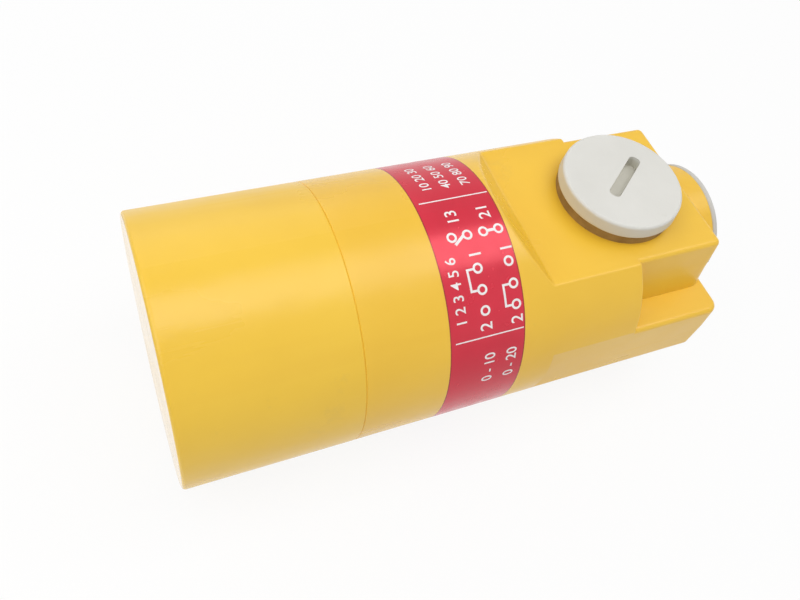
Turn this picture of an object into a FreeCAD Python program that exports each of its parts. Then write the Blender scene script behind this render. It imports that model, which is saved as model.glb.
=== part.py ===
# Barrel-shaped capacitive proximity sensor with a terminal chamber, in millimetres.
# +X runs from the sensing face to the rear, +Z is the normal of the flat top.
# The origin is the middle of the face.
import FreeCAD
import Part
import math
import os

os.makedirs("parts", exist_ok=True)

# Barrel and seam
BARREL_R = 20.0
WALL = 2.6
CAVITY_R = BARREL_R - WALL
CAP_LEN = 25.15
FACE_T = 2.0
RIM_ROUND = 0.6
SEAM_LIP = 0.3
SEAM_DROP = 0.03
SEAM_BEVEL = 0.1

# Housing: flat top with a ramp in front of it, side notches and a rear face that leans forward
HOUSING_LEN = 62.75
REAR_X = CAP_LEN + HOUSING_LEN
REAR_LEAN = 2.0
REAR_TOP_X = REAR_X - REAR_LEAN
FLAT_DROP = 4.9
FLAT_Z = BARREL_R - FLAT_DROP
FLAT_HALF_W = math.sqrt(BARREL_R ** 2 - FLAT_Z ** 2)
FLAT_LEN = 33.3
FLAT_X = REAR_X - FLAT_LEN
RAMP_DEG = 45.0
NOTCH_LEN = 17.7
NOTCH_X = REAR_X - NOTCH_LEN
NOTCH_DROP = 9.85
LEDGE_Z = FLAT_Z - NOTCH_DROP
BLOCK_INSET = 0.5
BLOCK_Y = FLAT_HALF_W - BLOCK_INSET
BLOCK_FLARE = 1.6
FOOT_Y = BLOCK_Y + BLOCK_FLARE
SIDE_FLAT_X = FLAT_X + 0.5
SIDE_FLAT_Y = math.sqrt(BARREL_R ** 2 - LEDGE_Z ** 2)
CORNER_ROUND = 2.0
BLOCK_FOOT_ROUND = 2.8
BLOCK_TOP_ROUND = 0.9
EDGE_ROUND = 0.8
FLAT_ROUND = 0.6
RAMP_ROUND = 1.0
NOTCH_ROUND = 0.4
ROOF_T = 2.8
BLOCK_WALL = 2.3

# Printed band in a shallow recess before the ramp
LABEL_W = 11.85
LABEL_TO_RAMP = 0.3
LABEL_X = FLAT_X - FLAT_DROP / math.tan(math.radians(RAMP_DEG)) - LABEL_TO_RAMP - LABEL_W
LABEL_T = 0.15
LABEL_GAP_DEG = 8.0

# The two cable entries share one thread
THREAD_R = 7.52
THREAD_GAP = 0.08
ENTRY_R = THREAD_R + THREAD_GAP
THREAD_PITCH = 1.411
THREAD_DEPTH = 0.55
ENTRY_WALL = 2.1
THREAD_WALL = 1.92
CORE_R = THREAD_R - THREAD_WALL

# Blanking plug in the flat top
PLUG_TO_REAR = 13.3
PLUG_X = REAR_TOP_X - PLUG_TO_REAR
PLUG_LIP = 2.2
PLUG_HEAD_R = ENTRY_R + PLUG_LIP
PLUG_HEAD_H = 2.4
PLUG_HEAD_DRAFT = 0.2
PLUG_HEAD_ROUND = 0.5
PLUG_FOOT_ROUND = 0.3
PLUG_GASKET_H = 1.6
PLUG_GASKET_INSET = 0.3
PLUG_GASKET_R = PLUG_HEAD_R - PLUG_GASKET_INSET
PLUG_THREAD_LEN = 6.4
PLUG_ENTRY_LEN = 5.7
PLUG_ROOF_T = 1.2
SLOT_LEN = 10.0
SLOT_W = 1.9
SLOT_DEPTH = 1.9
SLOT_ROUND = 0.8
SLOT_TURN_DEG = 37.5
SLOT_SHIFT = 0.7

# Cable gland in the rear face
GLAND_DROP = 2.05
GLAND_Z = LEDGE_Z - GLAND_DROP
COLLAR_WALL = 2.5
COLLAR_R = ENTRY_R + COLLAR_WALL
COLLAR_LEN = 3.0
COLLAR_X = REAR_X + COLLAR_LEN
GLAND_HEAD_R = COLLAR_R + 0.1
GLAND_HEAD_H = 1.0
GLAND_SLOT_W = 2.0
GLAND_SLOT_DEPTH = 0.6
GLAND_DEPTH = 7.65
GLAND_LIP_X = REAR_X - GLAND_DEPTH
GLAND_LIP_T = 2.0
SEAL_LEN = 3.4
WASHER_T = 0.8
GLAND_WALL = 3.12
CABLE_R = THREAD_R - GLAND_WALL

# Long screws from the notches into the cap
SCREW_INSET = 2.9
SCREW_DEG = 26.2
SCREW_Y = (BARREL_R - SCREW_INSET) * math.cos(math.radians(SCREW_DEG))
SCREW_Z = (BARREL_R - SCREW_INSET) * math.sin(math.radians(SCREW_DEG))
SCREW_R = 1.2
SCREW_HOLE_R = SCREW_R + 0.2
SCREW_HEAD_R = 2.0
SCREW_HEAD_H = 2.0
SCREW_SLOT_W = 0.8
SCREW_SLOT_DEPTH = 1.0
SCREW_SINK = 2.2
SINK_R = SCREW_HEAD_R + 0.1
COLUMN_R = 2.7
CAP_COLUMN_R = 2.9
CAP_COLUMN_LEN = 8.2
CAP_COLUMN_GAP = 0.05
INSERT_R = 1.8
INSERT_LEN = 6.0
INSERT_BORE_R = SCREW_R + 0.05
SCREW_GRIP = 4.7
SCREW_TIP_X = CAP_LEN - SCREW_GRIP

# Bulkhead, spigot and its ring seal
BULKHEAD_T = 6.0
FLANGE_GAP = 0.03
SPIGOT_R = CAVITY_R - 2.6
SPIGOT_GAP = 0.1
SPIGOT_LEN = 6.5
SPIGOT_BORE_R = SPIGOT_R - 2.2
SPIGOT_END_GAP = 0.5
RING_TO_SEAM = 3.1
RING_X = CAP_LEN + RING_TO_SEAM
RING_T = 1.4
RING_GAP = 0.03

# Electrodes and oscillator behind the face
ELECTRODE_T = 0.5
GUARD_TO_WALL = 1.9
GUARD_W = 4.0
GUARD_TO_DISC = 2.0
GUARD_R_OUT = CAVITY_R - GUARD_TO_WALL
GUARD_R_IN = GUARD_R_OUT - GUARD_W
ELECTRODE_R = GUARD_R_IN - GUARD_TO_DISC
CARRIER_R = CAVITY_R - 0.2
CARRIER_T = 2.0
POST_R = 1.5
POST_LEN = 3.5
BOARD_T = 1.6
CAN_R = CAVITY_R - 1.2
CAN_T = 0.6
CAN_TO_BULKHEAD = 2.3
OSC_BOARD_R = CAN_R - CAN_T - 1.0
POST_AT_R = OSC_BOARD_R - 2.0
LEAD_R = 0.4
LEAD_GAP = 0.05

# Main board, as wide as the spigot lets it be
BOARD_TOP_Z = -4.0
BOARD_LOW_Z = BOARD_TOP_Z - BOARD_T
BOARD_EDGE_GAP = 0.29
BOARD_HALF_W = math.sqrt(SPIGOT_BORE_R ** 2 - BOARD_LOW_Z ** 2) - BOARD_EDGE_GAP
BOARD_TO_NOTCH = 3.4
BOARD_END_X = NOTCH_X - BOARD_TO_NOTCH
TALL_H = 10.0
WIRE_PITCH = 3.0
WINDOW_HALF_W = 5.0
WINDOW_H = 1.2

# Terminals in a block at the end of the board
TERMINALS = 5
BLOCK_LEN = 12.0
BLOCK_X = BOARD_END_X - BLOCK_LEN
BLOCK_HALF_W = BOARD_HALF_W + 0.5
BLOCK_H = 9.2
TERMINAL_PITCH = 2 * (BLOCK_HALF_W - 0.25) / TERMINALS
CAGE_W = TERMINAL_PITCH - 1.0
CAGE_LEN = 0.5 * BLOCK_LEN
CAGE_FLOOR = 2.5
CAGE_H = 5.0
WIRE_HOLE_R = 0.37 * CAGE_W
LINK_R = WIRE_HOLE_R - 0.3
TSCREW_R = 0.26 * CAGE_W
TSCREW_HEAD_R = 0.46 * CAGE_W
TSCREW_HEAD_H = 1.3
TSCREW_SLOT_W = 0.6
TSCREW_SLOT_DEPTH = 0.7
LINK_INSET = 1.0
LINK_OUT = 2.0

# Sensitivity adjuster
TRIM_H = 4.0
ROTOR_GAP = 0.05
ROTOR_H = 1.4
ROTOR_SEAT = 1.0

# Values that follow from the ones above
SCREW_SEAT_X = NOTCH_X - SCREW_SINK
BULKHEAD_X = CAP_LEN - BULKHEAD_T
BOARD_X = BULKHEAD_X - 0.2 * BULKHEAD_T
WIRE_END_X = CAP_LEN - 2.2
SPIGOT_END_X = CAP_LEN + SPIGOT_LEN
HOUSING_BORE_R = SPIGOT_R + SPIGOT_GAP
CAVITY_X = SPIGOT_END_X + SPIGOT_END_GAP
FREE_X = CAVITY_X + 1.0
ELECTRODE_BACK_X = FACE_T + ELECTRODE_T
CARRIER_BACK_X = ELECTRODE_BACK_X + CARRIER_T
OSC_X = CARRIER_BACK_X + POST_LEN
OSC_BACK_X = OSC_X + BOARD_T
CAN_END_X = BULKHEAD_X - CAN_TO_BULKHEAD
HEAD_BASE_Z = FLAT_Z + PLUG_GASKET_H
PLUG_TOP_Z = HEAD_BASE_Z + PLUG_HEAD_H
SEAL_X = GLAND_LIP_X + GLAND_LIP_T
WASHER_X = SEAL_X + SEAL_LEN
GLAND_THREAD_X = WASHER_X + WASHER_T
RING_LAND_R = HOUSING_BORE_R - RING_GAP - RING_T
CAGE_X = BLOCK_X + 0.4 * BLOCK_LEN
CAGE_Z = BOARD_TOP_Z + CAGE_FLOOR
CAGE_TOP_Z = CAGE_Z + CAGE_H
WIRE_Z = CAGE_Z + 0.38 * CAGE_H
TERMINAL_YS = [(i - (TERMINALS - 1) / 2) * TERMINAL_PITCH for i in range(TERMINALS)]
BIG = 10 * BARREL_R


def vec(x, y, z):
    return FreeCAD.Vector(x, y, z)


def rod_x(x0, x1, r, y=0.0, z=0.0):
    return Part.makeCylinder(r, x1 - x0, vec(x0, y, z), vec(1, 0, 0))


def rod_z(z0, z1, r, x=0.0, y=0.0):
    return Part.makeCylinder(r, z1 - z0, vec(x, y, z0), vec(0, 0, 1))


def tube_x(x0, x1, r_out, r_in, y=0.0, z=0.0):
    return rod_x(x0, x1, r_out, y, z).cut(rod_x(x0 - 1, x1 + 1, r_in, y, z))


def box(x0, x1, y0, y1, z0, z1):
    return Part.makeBox(x1 - x0, y1 - y0, z1 - z0, vec(x0, y0, z0))


def prism_y(points, half_w):
    """Extrudes a closed outline of (x, z) points across the barrel."""
    corners = [vec(x, -half_w, z) for x, z in points]
    face = Part.Face(Part.makePolygon(corners + corners[:1]))
    return face.extrude(vec(0, 2 * half_w, 0))


def fuse(shapes):
    return shapes[0].multiFuse(shapes[1:]).removeSplitter()


def cut_all(shape, tools):
    for tool in tools:
        shape = shape.cut(tool)
    return shape


def both_sides(make):
    """The pair of shapes on the near and the far side."""
    return [make(-1), make(1)]


def round_edges(shape, radius, wanted, end_radius=None):
    """Rounds the edges whose bounding box is wanted, up to another radius at their end if one is given."""
    edges = [e for e in shape.Edges if wanted(e.BoundBox)]
    if end_radius is None:
        return shape.makeFillet(radius, edges)
    return shape.makeFillet(radius, end_radius, edges)


def bevel_circle(shape, x, size, radius):
    """Bevels the round edge of the given radius in the plane at x."""
    def at_x(e):
        b = e.BoundBox
        flat = b.XLength < 1e-4 and abs(b.XMin - x) < 1e-4
        return flat and abs(b.YLength - 2 * radius) < 1e-3
    return shape.makeChamfer(size, [e for e in shape.Edges if at_x(e)])


def save(name, shape):
    shape.exportStep("parts/%s.step" % name)


def screw_rods(x0, x1, r):
    return both_sides(lambda side: rod_x(x0, x1, r, side * SCREW_Y, SCREW_Z))


def with_seam(shape):
    """Draws the barrel in a little towards the seam and bevels its edge there."""
    front_x, low_r = CAP_LEN - SEAM_LIP, BARREL_R - SEAM_DROP
    ring = rod_x(front_x, CAP_LEN + SEAM_LIP, BARREL_R + 1)
    ring = ring.cut(Part.makeCone(BARREL_R, low_r, SEAM_LIP, vec(front_x, 0, 0), vec(1, 0, 0)))
    ring = ring.cut(Part.makeCone(low_r, BARREL_R, SEAM_LIP, vec(CAP_LEN, 0, 0), vec(1, 0, 0)))
    return bevel_circle(shape.cut(ring), CAP_LEN, SEAM_BEVEL, low_r)


# Front cap

def front_cap():
    outside = rod_x(0, CAP_LEN, BARREL_R)
    columns = [c.common(outside) for c in screw_rods(CAP_LEN - CAP_COLUMN_LEN, CAP_LEN, CAP_COLUMN_R)]
    front = [e for e in outside.Edges if e.BoundBox.XMax < 1e-6]
    shell = with_seam(outside.makeFillet(RIM_ROUND, front))
    cup = shell.cut(rod_x(FACE_T, CAP_LEN + 1, CAVITY_R))
    cup = fuse([cup] + [c.common(shell) for c in columns])
    return cut_all(cup, screw_rods(CAP_LEN - INSERT_LEN, CAP_LEN + 1, INSERT_R))


def threaded_inserts():
    bodies = screw_rods(CAP_LEN - INSERT_LEN, CAP_LEN, INSERT_R)
    bores = screw_rods(0, BIG, INSERT_BORE_R)
    return Part.makeCompound([body.cut(bore) for body, bore in zip(bodies, bores)])


def sensing_electrode():
    return rod_x(FACE_T, ELECTRODE_BACK_X, ELECTRODE_R)


def guard_ring():
    return tube_x(FACE_T, ELECTRODE_BACK_X, GUARD_R_OUT, GUARD_R_IN)


def electrode_carrier():
    disc = rod_x(ELECTRODE_BACK_X, CARRIER_BACK_X, CARRIER_R)
    posts = []
    for i in range(3):
        a = math.radians(90 + 120 * i)
        y = POST_AT_R * math.cos(a)
        z = POST_AT_R * math.sin(a)
        posts.append(rod_x(ELECTRODE_BACK_X, OSC_X, POST_R, y, z))
    return fuse([disc] + posts).cut(rod_x(0, OSC_X, LEAD_R + LEAD_GAP))


def oscillator_board():
    return rod_x(OSC_X, OSC_BACK_X, OSC_BOARD_R).cut(rod_x(0, BIG, LEAD_R + LEAD_GAP))


def electrode_lead():
    stem = rod_x(ELECTRODE_BACK_X, OSC_BACK_X + 0.9, LEAD_R)
    solder = Part.makeCone(1.0, LEAD_R, 0.7, vec(OSC_BACK_X, 0, 0), vec(1, 0, 0))
    return fuse([stem, solder])


def on_disc(f):
    """A fraction of the round board's radius, in millimetres."""
    return f * OSC_BOARD_R


def oscillator_parts():
    """Small parts soldered to the back of the round board."""
    chip_w, chip_len, chip_h = on_disc(0.09), on_disc(0.14), on_disc(0.06)
    chips = []
    for fy, fz in ((-0.58, 0.20), (-0.58, -0.10), (-0.41, -0.68), (0.34, -0.68), (0.51, -0.10)):
        y, z = on_disc(fy), on_disc(fz)
        chips.append(box(OSC_BACK_X, OSC_BACK_X + chip_h, y, y + chip_w, z, z + chip_len))
    coil = rod_x(OSC_BACK_X, OSC_BACK_X + on_disc(0.29), on_disc(0.18), on_disc(0.56), on_disc(0.29))
    can = rod_x(OSC_BACK_X, OSC_BACK_X + on_disc(0.25), on_disc(0.15), on_disc(-0.32), on_disc(0.62))
    return Part.makeCompound(chips + [coil, can])


def control_ic():
    half_w, low, high = on_disc(0.14), on_disc(0.15), on_disc(0.49)
    thick, leg_w = on_disc(0.11), on_disc(0.028)
    body = box(OSC_BACK_X + 0.1 * thick, OSC_BACK_X + 1.1 * thick, -half_w, half_w, low, high)
    legs = []
    for side in (-1, 1):
        for i in range(4):
            z = low + (high - low) * (i + 0.3) / 4
            y0, y1 = sorted((side * 0.9 * half_w, side * 1.5 * half_w))
            legs.append(box(OSC_BACK_X, OSC_BACK_X + 0.4 * thick, y0, y1, z, z + leg_w))
    return fuse([body] + legs)


def screening_can():
    cup = rod_x(CARRIER_BACK_X, CAN_END_X, CAN_R).cut(rod_x(0, CAN_END_X - CAN_T, CAN_R - CAN_T))
    half_w = WINDOW_HALF_W + 1
    window = box(CARRIER_BACK_X + 1, BIG, -half_w, half_w, BOARD_LOW_Z - 1, BOARD_TOP_Z + 3)
    return cup.cut(window)


# Bulkhead with the spigot

def bulkhead():
    flange = rod_x(BULKHEAD_X, CAP_LEN, CAVITY_R - FLANGE_GAP)
    spigot = tube_x(CAP_LEN - 1, SPIGOT_END_X, SPIGOT_R, SPIGOT_BORE_R)
    groove = tube_x(RING_X - RING_T / 2, RING_X + RING_T / 2, SPIGOT_R + 1, RING_LAND_R)
    slot = box(0, CAP_LEN + 1, -BOARD_HALF_W, BOARD_HALF_W, BOARD_LOW_Z, BOARD_TOP_Z)
    window = box(0, CAP_LEN + 1, -WINDOW_HALF_W, WINDOW_HALF_W, BOARD_TOP_Z, BOARD_TOP_Z + WINDOW_H)
    columns = screw_rods(0, CAP_LEN, CAP_COLUMN_R + CAP_COLUMN_GAP)
    return cut_all(fuse([flange, spigot]), [groove, slot, window] + columns)


def o_ring():
    return Part.makeTorus(RING_LAND_R + RING_T / 2, RING_T / 2, vec(RING_X, 0, 0), vec(1, 0, 0))


# Main board and its parts

def main_board():
    return box(BOARD_X, BOARD_END_X, -BOARD_HALF_W, BOARD_HALF_W, BOARD_LOW_Z, BOARD_TOP_Z)


def lead_wires():
    z = BOARD_TOP_Z + LEAD_R
    return Part.makeCompound([rod_x(OSC_BACK_X, WIRE_END_X, LEAD_R, i * WIRE_PITCH, z) for i in (-1, 0, 1)])


def footprint(fx0, fx1, fy0, fy1):
    """A rectangle on the free part of the board, as fractions of its length and half width."""
    length = BLOCK_X - FREE_X
    return FREE_X + fx0 * length, FREE_X + fx1 * length, fy0 * BOARD_HALF_W, fy1 * BOARD_HALF_W


def round_footprint(fx0, fx1, fy0, fy1):
    """Middle and radius of the largest circle in such a rectangle."""
    x0, x1, y0, y1 = footprint(fx0, fx1, fy0, fy1)
    return (x0 + x1) / 2, (y0 + y1) / 2, min(x1 - x0, y1 - y0) / 2


def rectifier():
    x0, x1, y0, y1 = footprint(0.02, 0.42, -0.95, -0.36)
    foot = 0.06 * TALL_H
    body = box(x0, x1, y0, y1, BOARD_TOP_Z + foot, BOARD_TOP_Z + 0.42 * TALL_H)
    legs = []
    for fx in (0.15, 0.80):
        for fy in (0.02, 0.84):
            x, y = x0 + fx * (x1 - x0), y0 + fy * (y1 - y0)
            leg_x, leg_y = x + 0.06 * (x1 - x0), y + 0.14 * (y1 - y0)
            legs.append(box(x, leg_x, y, leg_y, BOARD_TOP_Z, BOARD_TOP_Z + 2 * foot))
    return fuse([body] + legs)


def film_capacitor():
    x0, x1, y0, y1 = footprint(0.0, 0.48, -0.24, 0.24)
    body = box(x0, x1, y0, y1, BOARD_TOP_Z, BOARD_TOP_Z + 0.9 * TALL_H)
    return round_edges(body, 0.1 * (y1 - y0), lambda b: b.ZMax > BOARD_TOP_Z + 0.1)


def electrolytic():
    x, y, r = round_footprint(0.07, 0.41, 0.33, 0.95)
    can = rod_z(BOARD_TOP_Z, BOARD_TOP_Z + TALL_H, r, x, y)
    can = round_edges(can, 0.15 * r, lambda b: b.ZMin > BOARD_TOP_Z + 0.9 * TALL_H)
    crimp = Part.makeTorus(1.07 * r, 0.16 * r, vec(x, y, BOARD_TOP_Z + 0.16 * TALL_H), vec(0, 0, 1))
    return can.cut(crimp)


def choke():
    x, y, r = round_footprint(0.50, 0.82, -0.95, -0.35)
    flange = 0.12 * TALL_H
    top = BOARD_TOP_Z + 0.72 * TALL_H
    flanges = [rod_z(z, z + flange, r, x, y) for z in (BOARD_TOP_Z, top - flange)]
    return fuse(flanges + [rod_z(BOARD_TOP_Z, top, 0.82 * r, x, y)])


def transistors():
    cans = []
    for fx in (0.52, 0.73):
        x, y, r = round_footprint(fx, fx + 0.2, 0.44, 0.84)
        low = BOARD_TOP_Z + 0.12 * TALL_H
        can = rod_z(low, BOARD_TOP_Z + 0.58 * TALL_H, r, x, y)
        can = can.cut(box(x - 2 * r, x + 2 * r, y + 0.57 * r, y + 2 * r, BOARD_TOP_Z, BOARD_TOP_Z + TALL_H))
        legs = [rod_z(BOARD_TOP_Z, low + 0.1 * r, 0.12 * r, x + d * r, y) for d in (-0.52, 0.0, 0.52)]
        cans.append(fuse([can] + legs))
    return Part.makeCompound(cans)


def triac():
    """Flat power package under the board, its tab to the front."""
    x0, x1, y0, y1 = footprint(0.04, 0.90, -0.46, 0.46)
    low = BOARD_LOW_Z
    thick = 0.45 * TALL_H
    x_tab, x_legs = x0 + 0.34 * (x1 - x0), x0 + 0.84 * (x1 - x0)
    hole_x, hole_r = x0 + 0.15 * (x1 - x0), 0.1 * (x1 - x0)
    body = box(x_tab, x_legs, y0, y1, low - thick, low)
    tab = box(x0, x_tab + 0.5, y0, y1, low - 0.3 * thick, low)
    tab = tab.cut(rod_z(low - thick, low + 1, hole_r, hole_x, 0.0))
    legs = [box(x_legs - 0.1, x1, f * y1 - 0.08 * y1, f * y1 + 0.08 * y1, low - 0.14 * thick, low)
            for f in (-0.5, 0.0, 0.5)]
    return fuse([body, tab] + legs)


def resistors():
    """Four axial resistors along the underside, below the terminals."""
    made = []
    r = 0.1 * BOARD_HALF_W
    wire = 0.28 * r
    z = BOARD_LOW_Z - r
    mid = BLOCK_X + 0.25 * BLOCK_LEN
    half, reach = 0.21 * BLOCK_LEN, 0.33 * BLOCK_LEN
    for f in (-0.66, -0.33, 0.33, 0.66):
        y = f * BOARD_HALF_W
        legs = [rod_x(mid - reach, mid + reach, wire, y, z)]
        for x in (mid - reach, mid + reach):
            legs.append(rod_z(z, BOARD_LOW_Z, wire, x, y))
            legs.append(Part.makeSphere(wire, vec(x, y, z)))
        made.append(fuse([rod_x(mid - half, mid + half, r, y, z)] + legs))
    return Part.makeCompound(made)


# Terminals

def cage_space(y, extra):
    """The pocket of one terminal, open to the rear and upwards."""
    return box(CAGE_X, CAGE_X + CAGE_LEN + extra, y - CAGE_W / 2, y + CAGE_W / 2, CAGE_Z, CAGE_TOP_Z + extra)


def terminal_carrier():
    x1 = BLOCK_X + BLOCK_LEN
    block = box(BLOCK_X, x1, -BLOCK_HALF_W, BLOCK_HALF_W, BOARD_TOP_Z, BOARD_TOP_Z + BLOCK_H)
    return cut_all(block, [cage_space(y, BLOCK_LEN) for y in TERMINAL_YS])


def terminal_cages():
    made = []
    for y in TERMINAL_YS:
        cage = cage_space(y, 0.0).cut(rod_x(0, BIG, WIRE_HOLE_R, y, WIRE_Z))
        made.append(cage.cut(rod_z(WIRE_Z, BIG, TSCREW_R + 0.05, CAGE_X + CAGE_LEN / 2, y)))
    return Part.makeCompound(made)


def terminal_screws():
    made = []
    x = CAGE_X + CAGE_LEN / 2
    top = CAGE_TOP_Z + TSCREW_HEAD_H
    for y in TERMINAL_YS:
        head = rod_z(CAGE_TOP_Z, top, TSCREW_HEAD_R, x, y)
        half_w, reach = TSCREW_SLOT_W / 2, 2 * TSCREW_HEAD_R
        head = head.cut(box(x - half_w, x + half_w, y - reach, y + reach, top - TSCREW_SLOT_DEPTH, BIG))
        made.append(fuse([head, rod_z(WIRE_Z + WIRE_HOLE_R, CAGE_TOP_Z, TSCREW_R, x, y)]))
    return Part.makeCompound(made)


def function_link():
    """Bent wire that bridges two neighbouring terminals."""
    y0, y1 = TERMINAL_YS[1], TERMINAL_YS[2]
    z = WIRE_Z - WIRE_HOLE_R + LINK_R
    x0 = CAGE_X + LINK_INSET
    x1 = BLOCK_X + BLOCK_LEN + LINK_OUT
    legs = [rod_x(x0, x1, LINK_R, y, z) for y in (y0, y1)]
    bar = Part.makeCylinder(LINK_R, y1 - y0, vec(x1, y0, z), vec(0, 1, 0))
    bends = [Part.makeSphere(LINK_R, vec(x1, y, z)) for y in (y0, y1)]
    return fuse(legs + [bar] + bends)


# Sensitivity adjuster

def trimmer_place():
    """Middle and half size of the adjuster."""
    return round_footprint(0.68, 0.96, -0.28, 0.26)


def trimmer_body():
    x, y, half = trimmer_place()
    top = BOARD_TOP_Z + TRIM_H
    body = box(x - half, x + half, y - half, y + half, BOARD_TOP_Z, top)
    return body.cut(rod_z(top - ROTOR_SEAT, top + 1, 0.67 * half + ROTOR_GAP, x, y))


def trimmer_rotor():
    x, y, half = trimmer_place()
    base = BOARD_TOP_Z + TRIM_H - ROTOR_SEAT
    top = base + ROTOR_H
    rotor = rod_z(base, top, 0.67 * half, x, y)
    return rotor.cut(box(x - half, x + half, y - 0.1 * half, y + 0.1 * half, top - 0.4 * ROTOR_H, top + 1))


# Housing

def ramp_x(z):
    """Where the ramp in front of the flat reaches height z."""
    return FLAT_X - (z - FLAT_Z) / math.tan(math.radians(RAMP_DEG))


def rear_x(z):
    """The rear face leans forward above the middle of the barrel and is square below it."""
    return REAR_X - max(z, 0.0) * (REAR_X - REAR_TOP_X) / FLAT_Z


def notch(side):
    """The space beside the block; the block's wall flares out towards the ledge."""
    top = BARREL_R + 1
    top_y = BLOCK_Y - (top - FLAT_Z) * BLOCK_FLARE / NOTCH_DROP
    outline = [(top_y, top), (FOOT_Y, LEDGE_Z), (2 * BARREL_R, LEDGE_Z), (2 * BARREL_R, top)]
    corners = [vec(NOTCH_X, side * y, z) for y, z in outline]
    return Part.Face(Part.makePolygon(corners + corners[:1])).extrude(vec(BIG, 0, 0))


def beyond(side, x0, y, z0, z1):
    """Everything behind x0 that lies further out than y on one side, between two heights."""
    y0, y1 = sorted((side * y, side * 2 * BARREL_R))
    return box(x0, BIG, y0, y1, z0, z1)


def housing_block():
    """The barrel with its flat, ramp, notches, side flats and leaning rear face, still solid."""
    top = BARREL_R + 1
    outline = [(CAP_LEN, -top), (rear_x(-top), -top), (rear_x(0), 0), (rear_x(FLAT_Z), FLAT_Z),
               (FLAT_X, FLAT_Z), (ramp_x(top), top), (CAP_LEN, top)]
    solid = rod_x(CAP_LEN, BIG, BARREL_R).common(prism_y(outline, top))
    sides = both_sides(lambda side: beyond(side, SIDE_FLAT_X, SIDE_FLAT_Y, -LEDGE_Z, LEDGE_Z))
    return cut_all(solid, both_sides(notch) + sides).removeSplitter()


def rear_corner(b):
    """The upright edges between the side flats and the rear face."""
    upright = b.XMin > NOTCH_X and b.YLength < 1e-3 and b.ZLength > 1
    return upright and abs(abs(b.YMin) - SIDE_FLAT_Y) < 1e-3


def block_edge(b):
    """The upright rear edges of the block between the notches."""
    tall = abs(b.ZMin - LEDGE_Z) < 1e-3 and abs(b.ZMax - FLAT_Z) < 1e-3
    return b.XMin > NOTCH_X + 1 and tall


def ledge_edge(b):
    """The outer edges of the ledges."""
    level = b.ZLength < 1e-3 and b.XMax > NOTCH_X + 1
    return level and abs(b.ZMin - LEDGE_Z) < 1e-3 and abs(b.YMin + b.YMax) / 2 > FOOT_Y + 0.1


def rear_edge(b):
    """The edges of the flat between the notches and the lowest edge of the rear face."""
    level = b.ZLength < 1e-3 and b.XMax > NOTCH_X + 1
    top = level and abs(b.ZMin - FLAT_Z) < 1e-3
    low = b.XMin > NOTCH_X + 1 and b.XLength < 1e-3 and b.ZMax < 0.01 - LEDGE_Z
    return top or low


def ramp_foot(b):
    """The hollow edge between the ramp and the flat."""
    across = b.XLength < 1e-3 and b.ZLength < 1e-3
    return across and abs(b.XMin - FLAT_X) < 1e-3 and abs(b.ZMin - FLAT_Z) < 1e-3


def flat_edge(b):
    """The outer edges of the ramp and of the flat in front of the notches."""
    above = b.ZMin > FLAT_Z - 1e-3 and b.XLength > 0.1
    return above and b.XMin > CAP_LEN + 1 and b.XMax < NOTCH_X + 0.1


def notch_edge(b):
    """The curved edges where the notches start."""
    upright = abs(b.XMin - NOTCH_X) < 1e-3 and b.XLength < 1e-3 and b.ZLength > 1
    return upright and max(b.YMax, -b.YMin) > FOOT_Y + 1


def rounded_block():
    solid = housing_block()
    solid = round_edges(solid, CORNER_ROUND, rear_corner)
    solid = round_edges(solid, EDGE_ROUND, ledge_edge)
    solid = round_edges(solid, BLOCK_FOOT_ROUND, block_edge, BLOCK_TOP_ROUND)
    solid = round_edges(solid, EDGE_ROUND, rear_edge)
    solid = round_edges(solid, RAMP_ROUND, ramp_foot)
    solid = round_edges(solid, FLAT_ROUND, flat_edge)
    return round_edges(solid, NOTCH_ROUND, notch_edge)


def housing_cavity():
    """Room for the head's inner parts, with a lower roof under the flat and narrower beside the notches."""
    roof = FLAT_Z - ROOF_T
    low = -CAVITY_R - 1
    x_roof = ramp_x(BARREL_R) + 0.2
    outline = [(CAVITY_X, low), (REAR_X - ROOF_T, low), (REAR_X - ROOF_T, 0), (rear_x(roof) - ROOF_T, roof),
               (x_roof, roof), (x_roof, CAVITY_R + 1), (CAVITY_X, CAVITY_R + 1)]
    room = rod_x(CAVITY_X, BIG, CAVITY_R).common(prism_y(outline, CAVITY_R + 1))
    inner = BLOCK_Y - BLOCK_WALL
    shelf = LEDGE_Z - BLOCK_WALL
    flank = SIDE_FLAT_Y - BLOCK_WALL
    far = 2 * BARREL_R
    keep = both_sides(lambda side: beyond(side, NOTCH_X - BLOCK_WALL, inner, shelf, far))
    keep += both_sides(lambda side: beyond(side, SIDE_FLAT_X - BLOCK_WALL, flank, -far, far))
    keep += screw_rods(0, NOTCH_X, COLUMN_R)
    return cut_all(room, keep)


def housing():
    solid = with_seam(rounded_block())
    collar = rod_x(GLAND_LIP_X, COLLAR_X, COLLAR_R, 0.0, GLAND_Z)
    entry_base = FLAT_Z - PLUG_ENTRY_LEN
    boss = rod_z(entry_base, FLAT_Z - 0.5, ENTRY_R + ENTRY_WALL, PLUG_X, 0.0)
    body = solid.cut(housing_cavity())
    body = fuse([body, collar, boss])
    tools = [
        rod_x(CAP_LEN - 1, CAVITY_X + 1, HOUSING_BORE_R),
        rod_z(entry_base - 1, BIG, ENTRY_R, PLUG_X, 0.0),
        rod_x(SEAL_X, BIG, ENTRY_R, 0.0, GLAND_Z),
        rod_x(GLAND_LIP_X - 1, BIG, CORE_R, 0.0, GLAND_Z),
        tube_x(LABEL_X, LABEL_X + LABEL_W, BARREL_R + 1, BARREL_R - LABEL_T),
    ]
    tools += screw_rods(0, NOTCH_X + 1, SCREW_HOLE_R) + screw_rods(SCREW_SEAT_X, NOTCH_X + 1, SINK_R)
    return cut_all(body, tools)


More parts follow.
